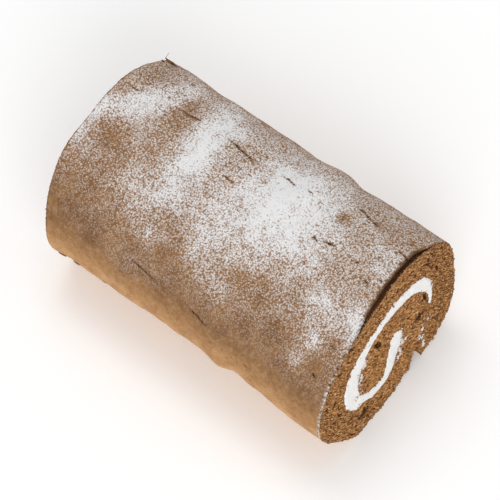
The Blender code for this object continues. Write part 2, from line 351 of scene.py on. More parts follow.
# Cream smeared over the near cut by the knife: (across from the axis, up from it, reach across, reach up).
SMEARS = (
    (-17.2, 7.4, 3.2, 4.8),
    (-14.6, 13.2, 2.8, 1.8),
    (-19.6, -0.6, 2.4, 4.4),
    (-20.4, -9.8, 1.8, 2.6),
    (5.8, -12.4, 2.6, 3.8),
    (8.8, -6.6, 1.4, 3.6),
    (11.2, -9.6, 2.2, 0.6),
    (9.6, -1.4, 1.1, 2.0),
    (26.5, -14.1, 0.9, 1.9),
    (22.8, -16.4, 1.1, 1.8),
    (22.2, -21.2, 1.5, 1.3),
    (20.4, -20.0, 0.9, 1.8),
    (22.3, -25.8, 0.9, 2.2),
    (31.0, 3.8, 0.8, 3.2),
)


def eased(value):
    """0 below 0, 1 above 1, and a smooth rise between them."""
    value = np.clip(value, 0.0, 1.0)
    return value * value * (3.0 - 2.0 * value)


def bell(offset, reach):
    """1 in the middle, falling smoothly to nothing about two reaches away."""
    return np.exp(-((offset / reach) ** 2))


def apart(turn, other):
    """The signed difference between two turns, in degrees."""
    return (turn - other + 180.0) % 360.0 - 180.0


def waves(points, size, seed=0.0):
    """Smooth noise from about -1 to 1 at these points, with lumps of this size in millimetres."""
    places = (np.asarray(points).reshape(-1, 3) / size + seed * 17.3).tolist()
    heights = np.array([noise.noise(place) for place in places])
    return heights.reshape(np.shape(points)[:-1])


def layered(points, layers, seed=0.0):
    """The sum of smooth noise in several sizes, each (size, height)."""
    return sum(height * waves(points, size, seed + n) for n, (size, height) in enumerate(layers, 1))


def spaced(along, seed):
    """Smooth noise along a line, from about -1 to 1."""
    places = np.stack([along, np.full_like(along, seed), np.zeros_like(along)], -1)
    return waves(places, 1.0, seed)


def straying(along, coarse, fine, seed):
    """How far a ragged edge strays, from coarse waves and fine ones, each (size, reach)."""
    (long, wide), (short, narrow) = coarse, fine
    return wide * spaced(along / long, seed) + narrow * spaced(along / short, seed + 4.0)


def stretch_of(turn, start, end, fade_in, fade_out):
    """1 well inside a stretch, falling smoothly to 0 at its start and end."""
    return eased((turn - start) / fade_in) * eased((end - turn) / fade_out)


# ---------------------------------------------------------------------------------------------------------
# The form of the CAD roll


class RollForm:
    """The roll as the CAD has it: how far its skin is from its axis, its cut ends and its section."""

    STEP = 1.0  # between the stations where the skin is read
    OUTSIDE = 90.0  # further out than any part of the roll
    DEEPEST_DENT = 4.0
    FACING = 0.7  # a face leans towards an end if the x of its normal is over this
    SMOOTHINGS = 7
    END_GRID = 1.5  # between the places where a cut end is read
    END_ORDER = 6  # of the smooth surface laid over them
    END_SCALE = 50.0

    def __init__(self):
        self.low, self.high = np.array(cad_low) / MM, np.array(cad_high) / MM
        self.axis = self.low[2] + AXIS_HEIGHT
        points, faces = [], []
        for name in ("sponge", "cream"):
            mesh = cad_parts[name].data
            start = len(points)
            points += [vert.co / MM for vert in mesh.vertices]
            faces += [[start + i for i in face.vertices] for face in mesh.polygons]
        self.solids = BVHTree.FromPolygons(points, faces)
        self.stations = np.arange(self.low[0], self.high[0] + self.STEP, self.STEP)
        self.radii = self.read_radii()
        self.end_shapes = {side: self.read_end(side) for side in (-1, 1)}

    def read_radii(self):
        """The skin's distance from the axis at every station and every degree, with the facets smoothed."""
        radii = np.full((len(self.stations), 360), np.nan)
        for turn in range(360):
            way = Vector((0.0, math.cos(math.radians(turn)), math.sin(math.radians(turn))))
            for row, x in enumerate(self.stations):
                start = Vector((x, 0.0, self.axis)) + way * self.OUTSIDE
                hit, normal, _, distance = self.solids.ray_cast(start, -way)
                if hit is not None and abs(normal.x) < self.FACING:
                    radii[row, turn] = self.OUTSIDE - distance
        inner_walls = radii < np.nanmedian(radii, axis=0) - self.DEEPEST_DENT
        radii[inner_walls] = np.nan
        in_seam = np.arange(math.floor(SEAM[0]), math.ceil(SEAM[1]) + 1) % 360
        radii[:, in_seam] = np.nan
        turns = np.arange(360)
        for row in range(len(radii)):
            known = ~np.isnan(radii[row])
            if known.mean() > 0.5:
                radii[row, in_seam] = np.interp(in_seam, turns[known], radii[row, known])
        for turn in turns:
            known = ~np.isnan(radii[:, turn])
            radii[:, turn] = np.interp(self.stations, self.stations[known], radii[known, turn])
        for _ in range(self.SMOOTHINGS):
            radii = (np.roll(radii, 1, 1) + 2 * radii + np.roll(radii, -1, 1)) / 4
            padded = np.pad(radii, ((1, 1), (0, 0)), mode="edge")
            radii = (padded[:-2] + 2 * radii + padded[2:]) / 4
        return radii

    def radius(self, x, turn):
        """The skin's distance from the axis at these places."""
        row = np.clip((x - self.stations[0]) / self.STEP, 0, len(self.stations) - 1.001)
        column = np.asarray(turn) % 360
        r, c = row.astype(int), column.astype(int) % 360
        u, v = row - r, column % 1.0
        low = self.radii[r, c] * (1 - v) + self.radii[r, (c + 1) % 360] * v
        high = self.radii[r + 1, c] * (1 - v) + self.radii[r + 1, (c + 1) % 360] * v
        return low * (1 - u) + high * u

    def powers(self, y, z):
        """The terms of a smooth surface over the section, at these points of it."""
        y, z = np.asarray(y) / self.END_SCALE, (np.asarray(z) - self.axis) / self.END_SCALE
        pairs = [(i, j) for i in range(self.END_ORDER + 1) for j in range(self.END_ORDER + 1 - i)]
        return np.stack([y**i * z**j for i, j in pairs], -1)

    def read_end(self, side):
        """The smooth surface that lies closest to the cut end on this side."""
        places, depths = [], []
        for y in np.arange(self.low[1], self.high[1], self.END_GRID):
            for z in np.arange(self.low[2], self.high[2], self.END_GRID):
                start = Vector((side * 2 * self.OUTSIDE, y, z))
                hit, normal, _, _ = self.solids.ray_cast(start, Vector((-side, 0.0, 0.0)))
                on_end = hit is not None and abs(normal.x) > self.FACING
                if on_end and side * hit.x > self.OUTSIDE / 2:
                    places.append((y, z))
                    depths.append(hit.x)
        return np.linalg.lstsq(self.powers(*np.array(places).T), np.array(depths), rcond=None)[0]

    def end(self, side, y, z):
        """The x of the cut end on this side, -1 or 1, over these points of the section."""
        return self.powers(y, z) @ self.end_shapes[side]

    def rim(self, side, turn):
        """The x of the cut end where it meets the skin."""
        x = np.full(np.shape(turn), side * self.high[0])
        for _ in range(3):
            y, z = self.section_point(turn, self.radius(x, turn))
            x = self.end(side, y, z)
        return x

    def section_point(self, turn, radius):
        """The y and z of the point at this turn and distance from the axis."""
        angle = np.radians(turn)
        return radius * np.cos(angle), self.axis + radius * np.sin(angle)

    def place(self, x, turn, lift=0.0):
        """The point this far outside the skin."""
        y, z = self.section_point(turn, self.radius(x, turn) + lift)
        return np.stack([np.broadcast_to(x, np.shape(y)), y, z], -1)

    def section(self, node):
        """The closed outline, as (y, z) points, that a cut square across the middle of the node leaves."""
        bm = bmesh.new()
        bm.from_mesh(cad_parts[node].data)
        bmesh.ops.remove_doubles(bm, verts=bm.verts, dist=0.001 * MM)
        everything = bm.verts[:] + bm.edges[:] + bm.faces[:]
        middle = {"plane_co": (0, 0, 0), "plane_no": (1, 0, 0)}
        cut = bmesh.ops.bisect_plane(bm, geom=everything, **middle)["geom_cut"]
        edges = {item for item in cut if isinstance(item, bmesh.types.BMEdge)}
        edge = next(iter(sorted(edges, key=lambda item: item.index)))
        first, vert = edge.verts
        outline = [first, vert]
        while True:
            edges.discard(edge)
            onward = [other for other in vert.link_edges if other in edges]
            if not onward:
                break
            edge = onward[0]
            vert = edge.other_vert(vert)
            outline.append(vert)
        outline = np.array([vert.co[1:] for vert in outline[:-1]]) / MM
        bm.free()
        return outline if signed_area(outline) > 0 else outline[::-1]


def signed_area(outline):
    """The area inside the outline, positive where it runs anticlockwise."""
    ahead = np.roll(outline, -1, 0)
    return (outline[:, 0] * ahead[:, 1] - outline[:, 1] * ahead[:, 0]).sum() / 2


def evenly(path, spacing, closed=False):
    """The path again, with points this far apart."""
    if closed:
        path = np.vstack([path, path[:1]])
    lengths = np.hypot(*np.diff(path, axis=0).T)
    travelled = np.concatenate([[0.0], np.cumsum(lengths)])
    count = max(int(travelled[-1] / spacing), 3)
    wanted = np.linspace(0.0, travelled[-1], count + 1)
    if closed:
        wanted = wanted[:-1]
    return np.stack([np.interp(wanted, travelled, path[:, axis]) for axis in (0, 1)], -1)


def outward(path):
    """The direction square to the path at each point, to its right."""
    ahead = np.gradient(path, axis=0)
    side = np.stack([ahead[:, 1], -ahead[:, 0]], -1)
    return side / np.maximum(np.hypot(*side.T), 1e-9)[:, None]


# ---------------------------------------------------------------------------------------------------------
# Making meshes


def placed(name, data):
    """A new object in the scene, at the origin."""
    thing = bpy.data.objects.new(name, data)
    bpy.context.scene.collection.objects.link(thing)
    return thing


def make_piece(name, points, faces, finish, values=None):
    """A smooth mesh object from points in millimetres, with a named value at each point for its finish."""
    mesh = bpy.data.meshes.new(name)
    mesh.from_pydata((np.asarray(points) * MM).tolist(), [], np.asarray(faces).tolist())
    bm = bmesh.new()
    bm.from_mesh(mesh)
    bmesh.ops.recalc_face_normals(bm, faces=bm.faces)
    bm.to_mesh(mesh)
    bm.free()
    mesh.shade_smooth()
    for key, value in (values or {}).items():
        mesh.attributes.new(key, "FLOAT", "POINT").data.foreach_set("value", np.asarray(value, np.float32))
    mesh.materials.append(finish)
    return placed(name, mesh)


def grid_faces(ids, heights):
    """Triangles over a grid of point numbers, each quad split along its lower diagonal."""
    a, b, c, d = ids[:-1, :-1], ids[:-1, 1:], ids[1:, 1:], ids[1:, :-1]
    low_ac = heights[:-1, :-1] + heights[1:, 1:] <= heights[:-1, 1:] + heights[1:, :-1]
    by_ac = np.stack([a, b, c, a, c, d], -1)[low_ac]
    by_bd = np.stack([a, b, d, b, c, d], -1)[~low_ac]
    return np.concatenate([by_ac, by_bd]).reshape(-1, 3)


def grid_border(ids):
    """The point numbers round a grid's edge, and how far round each is, counting each side as 1."""
    sides = (ids[0, :], ids[:, -1], ids[-1, ::-1], ids[::-1, 0])
    border = np.concatenate([side[:-1] for side in sides])
    shares = [n + np.arange(len(side) - 1) / (len(side) - 1) for n, side in enumerate(sides)]
    return border, np.concatenate(shares)


def stitch(border, shares, other, other_shares):
    """Triangles between two closed borders that run side by side."""
    faces = []
    i = j = 0
    border, other = np.append(border, border[0]), np.append(other, other[0])
    shares, other_shares = np.append(shares, 4.0), np.append(other_shares, 4.0)
    while i < len(border) - 1 or j < len(other) - 1:
        step_border = j == len(other) - 1 or (i < len(border) - 1 and shares[i + 1] <= other_shares[j + 1])
        if step_border:
            faces.append((border[i], other[j], border[i + 1]))
            i += 1
        else:
            faces.append((border[i], other[j], other[j + 1]))
            j += 1
    return np.array(faces)


# ---------------------------------------------------------------------------------------------------------
# The skin


def skin_columns(form):
    """The turns of the skin's columns of points, closer together where the skin is seen from above."""
    quarter_degree = 0.25
    turns = np.arange(SEAM[1], SEAM[0] + 360.0, quarter_degree)
    y, z = form.section_point(turns, form.radius(np.zeros_like(turns), turns))
    lengths = np.hypot(np.diff(y), np.diff(z))
    middles = (turns[1:] + turns[:-1]) / 2
    from_fine = np.maximum(FINE_TURNS[0] - middles, middles - FINE_TURNS[1])
    spacing = FINE_COLUMN + (COARSE_COLUMN - FINE_COLUMN) * eased(from_fine / COLUMNS_WIDEN)
    counted = np.concatenate([[0.0], np.cumsum(lengths / spacing)])
    whole = int(counted[-1])
    return np.interp(np.arange(whole + 1) * counted[-1] / whole, counted, turns)


def ledge_share(turn):
    """How far the crust has drawn back at this turn of the near rim, from 0 to 1."""
    turn = np.asarray(turn)
    size, reach = LEDGE_UNEVEN
    return stretch_of(turn, *LEDGE_TURNS) * (1.0 - reach + reach * spaced(turn / size, 3.0))


def rim_gap(side, turn):
    """How far the crust stops short of the cut end."""
    gap = np.maximum(RIM_GAP + straying(turn, *RIM_RAGGED, 5.0 + side), SMALLEST_GAP)
    return gap + LEDGE_WIDTH * ledge_share(turn) if side > 0 else gap


def bumps(x, turn, places):
    """The sum of soft bumps, each (x, turn, reach along, reach round, height)."""
    height = np.zeros(np.shape(x))
    for at_x, at_turn, along, around, peak in places:
        height += peak * bell(x - at_x, along) * bell(apart(turn, at_turn), around)
    return height


def relief(form, x, turn):
    """The lumps and folds of the crust, finer than the CAD has them."""
    height = layered(form.place(x, turn), LUMPS)
    unrolled = np.stack([x / FOLD_LONG, turn / FOLD_ROUND, np.zeros_like(x)], -1)
    folds = 1.0 - np.abs(waves(unrolled, 1.0, 6.0)) * 2.0
    height += FOLD_HEIGHT * stretch_of(turn, *FOLDED_TURNS) * folds
    return height + bumps(x, turn, DENTS) + bumps(x, turn, CREASES)


def sugar_on(form, x, turn):
    """How thickly the sugar lies, from 0 for none to a full cover."""
    cover = EVEN_DUSTING * stretch_of(turn, *DUSTED_TURNS)
    for at_x, at_turn, along, around, lean, amount in SUGAR_PASSES:
        off = apart(turn, at_turn)
        cover += amount * bell(x - at_x - lean * off, along) * bell(off, around)
    for at_x, at_turn, along, around, share in BARE_PLACES:
        cover *= 1.0 - share * bell(x - at_x, along) * bell(apart(turn, at_turn), around)
    cover *= 1.0 + layered(form.place(x, turn), SUGAR_DRIFTS, 6.0)
    return np.clip(cover, 0.0, FULL_COVER)


def crack_at(number, x):
    """The turn of this crack's middle at this x, and how far it gapes there, from 0 to over 1."""
    x_from, turn_from, x_to, turn_to = CRACKS[number][:4]
    share = (x - x_from) / (x_to - x_from)
    (long, wide), (short, narrow) = CRACK_WANDER
    wander = wide * noise.noise((x / long, number, 0.0)) + narrow * noise.noise((x / short, number, 5.0))
    mean, size, reach = CRACK_GAPE
    tapered = min(1.0, CRACK_TAPER * min(share, 1.0 - share))
    gape = tapered * (mean + reach * noise.noise((x / size, number, 9.0)))
    return turn_from + (turn_to - turn_from) * share + wander, gape


def open_cracks(x, turn, lift):
    """Opens the cracks in the grid: moves the points nearest to each onto it, and sinks the middle ones."""
    crack = np.zeros_like(lift)
    for number, (x_from, turn_from, x_to, turn_to, half_width, depth) in enumerate(CRACKS):
        column = int(np.argmin(np.abs(turn[0] - (turn_from + turn_to) / 2)))
        for row in np.where((x[:, column] > x_from) & (x[:, column] < x_to))[0]:
            middle, gape = crack_at(number, x[row, column])
            half = math.degrees(half_width / MEAN_RADIUS) * max(gape, NARROWEST)
            near = int(np.argmin(np.abs(turn[row] - middle)))
            outer = (turn[row, near - 3], turn[row, near + 3])
            for offset, place in ((-1, middle - half), (0, middle), (1, middle + half)):
                turn[row, near + offset] = place
            turn[row, near - 2] = (outer[0] + middle - half) / 2
            turn[row, near + 2] = (outer[1] + middle + half) / 2
            lift[row, near] -= depth * gape
            crack[row, near] = max(crack[row, near], gape)
    return crack


def skin_values(form, x, turn, points, crack, lip, to_near):
    """What the crust's finish reads at each point. A sunk lip or a torn rim gets a crack's painted shade."""
    beside_crack = np.maximum(np.roll(crack, 1, axis=1), np.roll(crack, -1, axis=1))
    sugar = sugar_on(form, x, turn) * (1.0 - lip * (1.0 - eased((to_near - LIP_BARE) / LIP_BARE_FADE)))
    sugar *= 1.0 - np.maximum(crack, beside_crack)
    sugar += FRINGE * bell(to_near, FRINGE_WIDTH) * stretch_of(turn, *FRINGE_TURNS)
    size, steepness = TORN_PATCHES
    torn = eased(0.5 + steepness * waves(points, size, 12.0)) * stretch_of(turn, *TORN_TURNS)
    # Painted shade over the sunk lip and the torn rim, partly for darker torn crust
    dark_rim = DARK_RIM * np.maximum(lip, torn) * (1.0 - eased(to_near / DARK_RIM_WIDTH))
    return {"sugar": sugar, "crack": np.maximum(crack, dark_rim), "turn": turn}


def lining_of(form, x, turn):
    """The back of the skin: a coarser grid of points below it, as an array of rows of columns."""
    rows = np.linspace(0, SKIN_ROWS, LINING_ROWS + 1).round().astype(int)
    columns = np.linspace(0, x.shape[1] - 1, LINING_COLUMNS + 1).round().astype(int)
    x, turn = x[np.ix_(rows, columns)], turn[np.ix_(rows, columns)]
    y, z = form.section_point(turn, lowest_nearby(form, x, turn) - SKIN_DEPTH)
    return np.stack([x, y, z], -1)


def make_skin(form, finish):
    """The crust: a fine grid outside, a coarser lining below it, and a border that joins the two."""
    columns = skin_columns(form)
    far = form.rim(-1, columns) + rim_gap(-1, columns)
    near = form.rim(1, columns) - rim_gap(1, columns)
    x = far + (near - far) * np.linspace(0.0, 1.0, SKIN_ROWS + 1)[:, None]
    turn = np.broadcast_to(columns, x.shape).copy()
    to_near = near - x
    lip = ledge_share(turn)
    lift = relief(form, x, turn)
    lift -= LIP_DROP * lip * (1.0 - eased(to_near / LIP_WIDTH))
    crack = open_cracks(x, turn, lift)
    points = form.place(x, turn, lift)
    values = skin_values(form, x, turn, points, crack, lip, to_near)

    lining = lining_of(form, x, turn)
    ids = np.arange(x.size).reshape(x.shape)
    lining_ids = ids.size + np.arange(lining[..., 0].size).reshape(lining.shape[:2])
    lining_radius = np.hypot(lining[..., 1], lining[..., 2] - form.axis)
    faces = [grid_faces(ids, lift), grid_faces(lining_ids, lining_radius)[:, ::-1]]
    faces.append(stitch(*grid_border(ids), *grid_border(lining_ids)))
    none = np.zeros(lining_ids.size)
    return make_piece(
        "skin",
        np.concatenate([points.reshape(-1, 3), lining.reshape(-1, 3)]),
        np.concatenate(faces),
        finish,
        {key: np.concatenate([value.ravel(), none]) for key, value in values.items()},
    )


def make_slivers(form, finish):
    """Thin ragged strips of crust, each a closed tube that comes to a point at both ends."""
    points, faces = [], []
    shares = np.linspace(0.0, 1.0, SLIVER_RINGS)
    sides = np.arange(SLIVER_SIDES)
    around = np.radians(sides * 360.0 / SLIVER_SIDES)
    for number, sliver in enumerate(SLIVERS):
        x_from, turn_from, lift_from, x_to, turn_to, lift_to, half_width = sliver
        x = x_from + (x_to - x_from) * shares
        turn = turn_from + (turn_to - turn_from) * shares
        lift = lift_from + (lift_to - lift_from) * eased(shares * 2.0)
        thick = half_width * np.sqrt(np.sin(np.pi * shares)) + SLIVER_POINT
        ragged = 1.0 + SLIVER_RAGGED * spaced(np.add.outer(shares * 9.0, sides * 1.7), 31.0 + number)
        out = thick[:, None] * ragged * np.sin(around) * SLIVER_FLATNESS
        swing = np.degrees(thick[:, None] * ragged * np.cos(around) / MEAN_RADIUS)
        x = np.broadcast_to(x[:, None], out.shape)
        points.append(form.place(x, turn[:, None] + swing, lift[:, None] + out).reshape(-1, 3))
        ids = number * out.size + np.arange(out.size).reshape(out.shape)
        closed = np.column_stack([ids, ids[:, :1]])
        faces.append(grid_faces(closed, np.zeros(closed.shape)))
        for row in (ids[0], ids[-1, ::-1]):
            first = np.full(SLIVER_SIDES - 2, row[0])
            faces.append(np.stack([first, row[1:-1], row[2:]], -1)[:, ::-1])
    return make_piece("torn_crust", np.concatenate(points), np.concatenate(faces), finish)


def lowest_nearby(form, x, turn):
    """The skin's smallest distance from the axis within a few millimetres, so that a lining never shows."""
    nearby = [(shift, swing) for shift in (-2.5, 0.0, 2.5) for swing in (-2.0, 0.0, 2.0)]
    return np.minimum.reduce([form.radius(x + shift, turn + swing) for shift, swing in nearby])


# ---------------------------------------------------------------------------------------------------------
# The crumb: the rolled sponge inside the skin, with its two cut ends


def lip_of(outline, form, seam_turn, sign):
    """The number of the outline's point at one lip of the seam. The sign says which way the seam lies."""
    reach, slack, depth = 25.0, 3.0, 1.2
    turns = np.degrees(np.arctan2(outline[:, 1] - form.axis, outline[:, 0]))
    distance = np.hypot(outline[:, 0], outline[:, 1] - form.axis)
    on_skin = distance > form.radius(np.zeros(len(outline)), turns) - depth
    onward = sign * apart(turns, seam_turn)
    near = on_skin & (onward > -reach) & (onward < slack)
    return int(np.argmax(np.where(near, onward, -reach)))


def crumb_outline(form):
    """The sponge's outline in two runs: round the outside from lip to lip, then round the cream's bed."""
    outline = form.section("sponge")
    left, right = lip_of(outline, form, SEAM[0], 1), lip_of(outline, form, SEAM[1], -1)
    start = np.roll(outline, -right, 0)
    count = (left - right) % len(outline)
    outer, inner = start[: count + 1], np.vstack([start[count:], start[:1]])
    return evenly(outer, GRAIN_NEAR), evenly(inner, GRAIN_NEAR)


def inside(outline, places):
    """Which places lie inside the outline."""
    y, z = places.T
    found = np.zeros(len(places), bool)
    for (y_from, z_from), (y_to, z_to) in zip(outline, np.roll(outline, -1, 0)):
        crosses = (z_from > z) != (z_to > z)
        if z_to != z_from:
            found ^= crosses & (y < (y_to - y_from) * (z - z_from) / (z_to - z_from) + y_from)
    return found


def scattered(outline, spacing, rng):
    """Points all over the inside of the outline, about this far apart, and how far each is from the edge."""
    low, high = outline.min(0), outline.max(0)
    row_share, shake, from_edge = 0.866, 0.3, 0.6
    rows = np.arange(low[1], high[1], spacing * row_share)
    columns = np.arange(low[0], high[0], spacing)
    y, z = np.meshgrid(columns, rows)
    y = y + (np.arange(len(rows))[:, None] % 2) * spacing / 2
    places = np.stack([y.ravel(), z.ravel()], -1) + rng.uniform(-shake, shake, (y.size, 2)) * spacing
    places = places[inside(outline, places)]
    edge = KDTree(len(outline))
    for number, point in enumerate(outline):
        edge.insert((*point, 0.0), number)
    edge.balance()
    clear = np.array([edge.find((*place, 0.0))[2] for place in places.tolist()])
    kept = clear > spacing * from_edge
    return places[kept], clear[kept]


def sheet_lines(places, form):
    """Coordinates that run along and across the rolled sheet, so that its pores lie along its layers."""
    y, z = places[:, 0], places[:, 1] - form.axis
    distance, angle = np.hypot(y, z), np.arctan2(z, y)
    return np.stack([distance * PORES_ACROSS, angle * PORES_ALONG, np.zeros_like(y)], -1)


def pore_depth(places, form, side):
    """How far the crumb is sunk below the cut at these places."""
    lines = sheet_lines(places, form)
    depth = np.zeros(len(places))
    for seed, (size, threshold, steepness) in enumerate(PORES, 1):
        depth += steepness * np.clip(waves(lines, size, seed + 10 * side) - threshold, 0.0, 0.4)
    return depth + layered(lines, UNEVEN, 3.0 + side)


def pit_depth(places, form):
    """The larger holes in the near cut."""
    depth = np.zeros(len(places))
    size, reach = PIT_RAGGED
    ragged = 1.0 + reach * waves(np.column_stack([places, np.zeros(len(places))]), size, 8.0)
    for across, up, length, width, lean, deep in PITS:
        y, z = places[:, 0] - across, places[:, 1] - form.axis - up
        lean = math.radians(lean)
        along = (y * math.cos(lean) + z * math.sin(lean)) / length
        square = (z * math.cos(lean) - y * math.sin(lean)) / width
        depth = np.maximum(depth, deep * eased((PIT_RIM - np.hypot(along, square) * ragged) / PIT_WALL))
    return depth


class CutBody:
    """A closed body with a cut end on each side of the roll and a wall of rings between them."""

    def __init__(self, form, seed):
        self.form = form
        self.rng = np.random.default_rng(seed)
        self.points, self.faces = [], []
        self.values = {"pore": [], "rim": [], "loose": [], "smear": []}
        self.size = 0

    def add(self, points, **values):
        """Adds points and returns their numbers."""
        for key, kept in self.values.items():
            kept.append(np.broadcast_to(values.get(key, 0.0), len(points)))
        self.points.append(points)
        self.size += len(points)
        return np.arange(self.size - len(points), self.size)

    def cut_end(self, side, edge, grain, sunk_at, loose, smear_at=None):
        """Fills the outline on this side with fine triangles, and returns the numbers and x of its edge."""
        places, clear = scattered(edge, grain, self.rng)
        flat = np.vstack([edge, places])
        clear = np.concatenate([np.zeros(len(edge)), clear])
        ring = [[n, (n + 1) % len(edge)] for n in range(len(edge))]
        found = delaunay_2d_cdt([Vector(place) for place in flat.tolist()], ring, [], 1, 1e-5, True)
        own = np.array([origin[0] for origin in found[3]])
        triangles = own[np.array(found[2])]
        triangles = triangles[inside(edge, flat[triangles].mean(1))]
        sunk = sunk_at(flat, clear, side)
        x = self.form.end(side, *flat.T) - side * sunk
        everywhere, more, width = loose
        values = {"pore": sunk, "loose": everywhere + more * bell(clear, width)}
        if smear_at:
            values["smear"] = smear_at(flat)
        numbers = self.add(np.column_stack([x, flat]), **values)
        self.faces.append(numbers[triangles[:, ::side]])
        return numbers[: len(edge)], x[: len(edge)]

    def wall(self, rings):
        """Joins rings of equally many point numbers, each to the next."""
        numbers = np.array(rings)
        numbers = np.column_stack([numbers, numbers[:, :1]])
        self.faces.append(grid_faces(numbers, np.zeros(numbers.shape)))

    def piece(self, name, finish):
        """The finished mesh object."""
        values = {key: np.concatenate(kept) for key, kept in self.values.items()}
        return make_piece(name, np.concatenate(self.points), np.concatenate(self.faces), finish, values)


def crumb_sunk(form):
    """How deep the crumb lies on the cuts. It is firmer, and so less porous, along its edge."""

    def sunk_at(places, clear, side):
        firm_edge = FIRM_SHARE + (1.0 - FIRM_SHARE) * eased(clear / FIRM_WIDTH)
        sunk = np.clip(pore_depth(places, form, side) * firm_edge, *CRUMB_DEPTHS) + CRUMB_BELOW
        return sunk + pit_depth(places, form) if side > 0 else sunk

    return sunk_at


def smear_on(form, smears):
    """How thickly the knife has smeared one thing over the other, from 0 to 1."""

    def smear_at(places):
        y, z = places[:, 0], places[:, 1] - form.axis
        smeared = np.zeros(len(places))
        for across, up, reach_across, reach_up in smears:
            smeared = np.maximum(smeared, bell(y - across, reach_across) * bell(z - up, reach_up))
        return smeared

    return smear_at


def make_crumb(form, finish):
    """The sponge, with porous cut ends and a wall that stays out of sight under the skin."""
    body = CutBody(form, seed=11)
    outer, inner = crumb_outline(form)
    turns = np.degrees(np.arctan2(outer[:, 1] - form.axis, outer[:, 0]))
    sunk, smeared = crumb_sunk(form), smear_on(form, SMEARS)
    far_rim, near_rim = (rim_of_crumb(form, turns, inner, side) for side in (-1, 1))
    far, far_x = body.cut_end(-1, far_rim, GRAIN_FAR, sunk, CRUMB_LOOSE_FAR)
    near, near_x = body.cut_end(1, near_rim, GRAIN_NEAR, sunk, CRUMB_LOOSE_NEAR, smeared)
    under = wall_radius(form, turns)
    rings = [near]
    for x in wall_stations(near_x, far_x):
        by_near_cut = x[: len(outer) - 1] > near_x[: len(outer) - 1] - LEDGE_SHOWS
        shown = ledge_share(turns[:-1]) * by_near_cut
        on_ledge = np.concatenate([shown, np.zeros(len(inner) - 1)])
        rings.append(body.add(wall_ring(form, x, turns, inner, under), rim=on_ledge))
    body.wall(rings + [far])
    return body.piece("crumb", finish)


def wall_stations(near_x, far_x):
    """The x of each ring of a wall, close together beside the cuts."""
    stations = [near_x - step for step in WALL_NEAR_STEPS]
    start, end = near_x - WALL_MIDDLE_FROM, far_x + WALL_MIDDLE_FROM
    stations += [start + (end - start) * share for share in np.linspace(0.0, 1.0, WALL_MIDDLE_RINGS)]
    return stations + [far_x + step for step in WALL_FAR_STEPS]


def wall_radius(form, turns):
    """How far from the axis the wall may stand at each turn, to stay below the skin from end to end."""
    stations = np.linspace(form.stations[6], form.stations[-7], 40)
    lowest = np.min([form.radius(np.full(len(turns), x), turns) for x in stations], axis=0)
    return lowest - WALL_CLEARANCE


def wall_ring(form, x, turns, inner, under):
    """One ring of the wall: close under the skin by the cuts, deeper between them, then the cream's bed."""
    outer_x = x[: len(turns) - 1]
    by_cut = eased((np.abs(outer_x) - form.high[0] + HUG_FROM) / HUG_FADE)
    hugging = form.radius(outer_x, turns[:-1]) - WALL_UNDER_SKIN
    hugging -= LEDGE_DROP * ledge_share(turns[:-1]) * (outer_x > 0)
    radius = under[:-1] + (hugging - under[:-1]) * by_cut
    outer = np.stack(form.section_point(turns[:-1], radius), -1)
    return np.column_stack([x, np.vstack([outer, inner[:-1]])])


def squeezed(places, form):
    """How much narrower the cream shows on the cuts at these places."""
    y, z = places[:, 0], places[:, 1] - form.axis
    narrower = np.zeros(len(places))
    for across, up, reach_across, reach_up, drag in SQUEEZED:
        narrower += drag * bell(y - across, reach_across) * bell(z - up, reach_up)
    return narrower


def rim_of_crumb(form, turns, inner, side):
    """The outline of the crumb on this cut end, a little ragged where it meets the crust and the cream."""
    under_crust, over_ledge, cream_gap, by_seam = 0.15, 0.3, 0.25, 3.0
    turn = turns[:-1]
    share = ledge_share(turn) if side > 0 else np.zeros_like(turn)
    coarse, (size, reach) = CRUST_SIDE_RAGGED
    strays = straying(turn, coarse, (size, reach * (1.0 - 0.5 * share)), 3.0 + side)
    skin = form.radius(form.rim(side, turn), turn)
    radius = skin - under_crust - (LEDGE_DROP - over_ledge) * share + strays
    edge_outer = np.stack(form.section_point(turn, radius), -1)
    travelled = np.arange(len(inner)) * GRAIN_NEAR
    strays = cream_gap + straying(travelled, *BED_SIDE_RAGGED, 11.0 + side) + squeezed(inner, form)
    strays *= stretch_of(travelled, 0.0, travelled[-1], by_seam, by_seam)
    edge_inner = (inner + outward(inner) * strays[:, None])[:-1]
    return np.vstack([edge_outer, edge_inner])


# ---------------------------------------------------------------------------------------------------------
# The cream, spread on the sheet before it was rolled


def cream_sunk(form):
    """How deep the cream lies on the cuts; less than nothing stands proud of the sponge."""

    def sunk_at(places, clear, side):
        points = np.column_stack([places, np.full(len(places), 3.0 * side)])
        depth = layered(points, CREAM_DIPS)
        size, threshold, steepness = CAME_AWAY
        depth += steepness * np.clip(waves(points, size, 4.0) - threshold, 0.0, 0.5)
        thin = eased((places[:, 0] - THIN_BEYOND) / 3.0)
        thin *= eased((THIN_BELOW - places[:, 1] + form.axis) / 1.5)
        width, rounded = CREAM_EDGE
        return depth - CREAM_PROUD + rounded * bell(clear, width) + THIN_SUNK * thin

    return sunk_at


